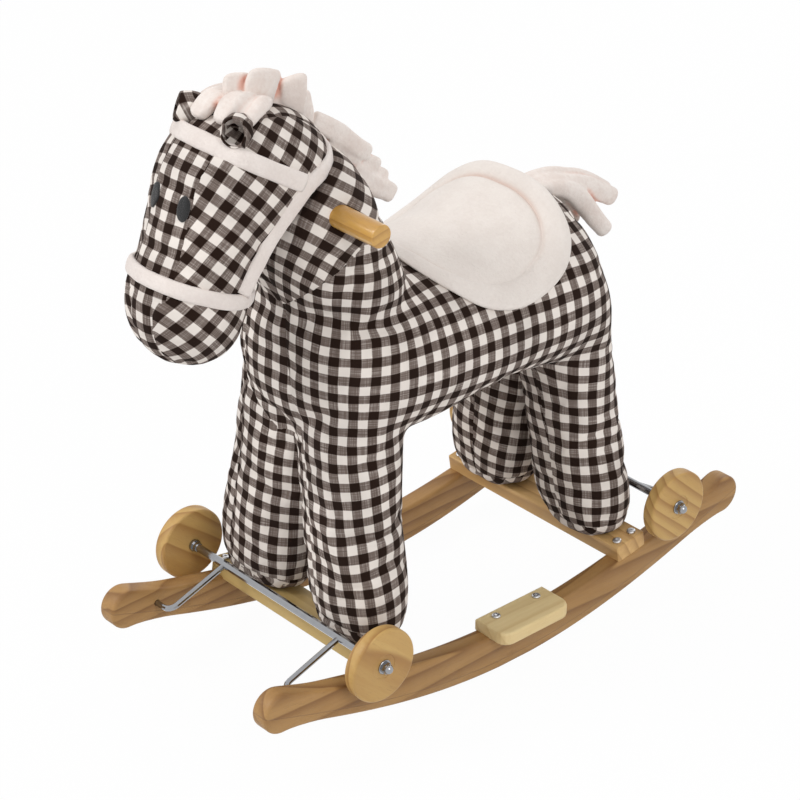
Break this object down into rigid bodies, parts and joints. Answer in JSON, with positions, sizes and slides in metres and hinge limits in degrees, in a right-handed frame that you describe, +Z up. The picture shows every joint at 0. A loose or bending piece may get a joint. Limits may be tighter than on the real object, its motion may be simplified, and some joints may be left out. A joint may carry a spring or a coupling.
{
  "type": "plush rocking horse",
  "caption": "Stuffed checked-cloth horse on wooden rockers, with a handle, foot rests, a padded saddle and two wheel sets that swing under to roll.",
  "frame": {"origin": "on the floor under the middle of the whole outline, with the rockers at rest", "axes": "+Z up, the horse faces -Y and its left side is +X"},
  "size_m": [0.319, 0.658, 0.647],
  "materials": {
    "rocker_wood": "satin",
    "pale_wood": "satin",
    "varnished_wood": "gloss",
    "inner_wood": "matte",
    "chromed_steel": "polished",
    "zinc_steel": "satin",
    "checked_cotton": "matte",
    "cream_plush": "matte",
    "black_felt": "matte"
  },
  "bodies": {
    "horse": {"rocker_left": "rocker_wood", "rocker_right": "rocker_wood", "front_cross_board": "pale_wood", "rear_cross_board": "rocker_wood", "foot_rest_left": "pale_wood", "foot_rest_right": "pale_wood", "front_board_screw_1": "zinc_steel", "front_board_screw_2": "zinc_steel", "front_board_screw_3": "zinc_steel", "front_board_screw_4": "zinc_steel", "rear_board_screw_1": "zinc_steel", "rear_board_screw_2": "zinc_steel", "rear_board_screw_3": "zinc_steel", "rear_board_screw_4": "zinc_steel", "foot_rest_screw_1": "zinc_steel", "foot_rest_screw_2": "zinc_steel", "foot_rest_screw_3": "zinc_steel", "foot_rest_screw_4": "zinc_steel", "leg_post_front_left": "inner_wood", "leg_post_front_right": "inner_wood", "leg_post_rear_left": "inner_wood", "leg_post_rear_right": "inner_wood", "leg_bolt_front_left": "zinc_steel", "leg_bolt_front_right": "zinc_steel", "leg_bolt_rear_left": "zinc_steel", "leg_bolt_rear_right": "zinc_steel", "body_board": "inner_wood", "neck_board": "inner_wood", "handle_bar": "varnished_wood", "torso": "checked_cotton", "neck": "checked_cotton", "head": "checked_cotton", "leg_front_left": "checked_cotton", "leg_front_right": "checked_cotton", "leg_rear_left": "checked_cotton", "leg_rear_right": "checked_cotton", "ear_left": "checked_cotton", "ear_right": "checked_cotton", "eye_left": "black_felt", "eye_right": "black_felt", "noseband": "cream_plush", "browband": "cream_plush", "crown_strap": "cream_plush", "saddle_pad": "cream_plush", "forelock": "cream_plush", "mane_crest": "cream_plush", "mane_back": "cream_plush", "tail": "cream_plush"},
    "front_wheel_set": {"front_wheel_frame": "chromed_steel", "front_dome_nut_left": "chromed_steel", "front_dome_nut_right": "chromed_steel"},
    "rear_wheel_set": {"rear_wheel_frame": "chromed_steel", "rear_dome_nut_left": "chromed_steel", "rear_dome_nut_right": "chromed_steel"},
    "wheel_front_left": {"front_wheel_left": "pale_wood"},
    "wheel_front_right": {"front_wheel_right": "pale_wood"},
    "wheel_rear_left": {"rear_wheel_left": "pale_wood"},
    "wheel_rear_right": {"rear_wheel_right": "pale_wood"}
  },
  "joints": [
    {"name": "front_set_swing", "type": "hinge", "parent": "horse", "child": "front_wheel_set", "pos_m": [0, -0.24855, 0.0665], "axis": [1, 0, 0], "range_deg": [0, 306]},
    {"name": "rear_set_swing", "type": "hinge", "parent": "horse", "child": "rear_wheel_set", "pos_m": [0, 0.27535, 0.0665], "axis": [-1, 0, 0], "range_deg": [0, 293]},
    {"name": "front_left_spin", "type": "hinge", "parent": "front_wheel_set", "child": "wheel_front_left", "pos_m": [0.14325, -0.1791, 0.09055], "axis": [1, 0, 0], "continuous": true},
    {"name": "front_right_spin", "type": "hinge", "parent": "front_wheel_set", "child": "wheel_front_right", "pos_m": [-0.14325, -0.1791, 0.09055], "axis": [1, 0, 0], "continuous": true},
    {"name": "rear_left_spin", "type": "hinge", "parent": "rear_wheel_set", "child": "wheel_rear_left", "pos_m": [0.14325, 0.21343, 0.1061], "axis": [1, 0, 0], "continuous": true},
    {"name": "rear_right_spin", "type": "hinge", "parent": "rear_wheel_set", "child": "wheel_rear_right", "pos_m": [-0.14325, 0.21343, 0.1061], "axis": [1, 0, 0], "continuous": true}
  ]
}
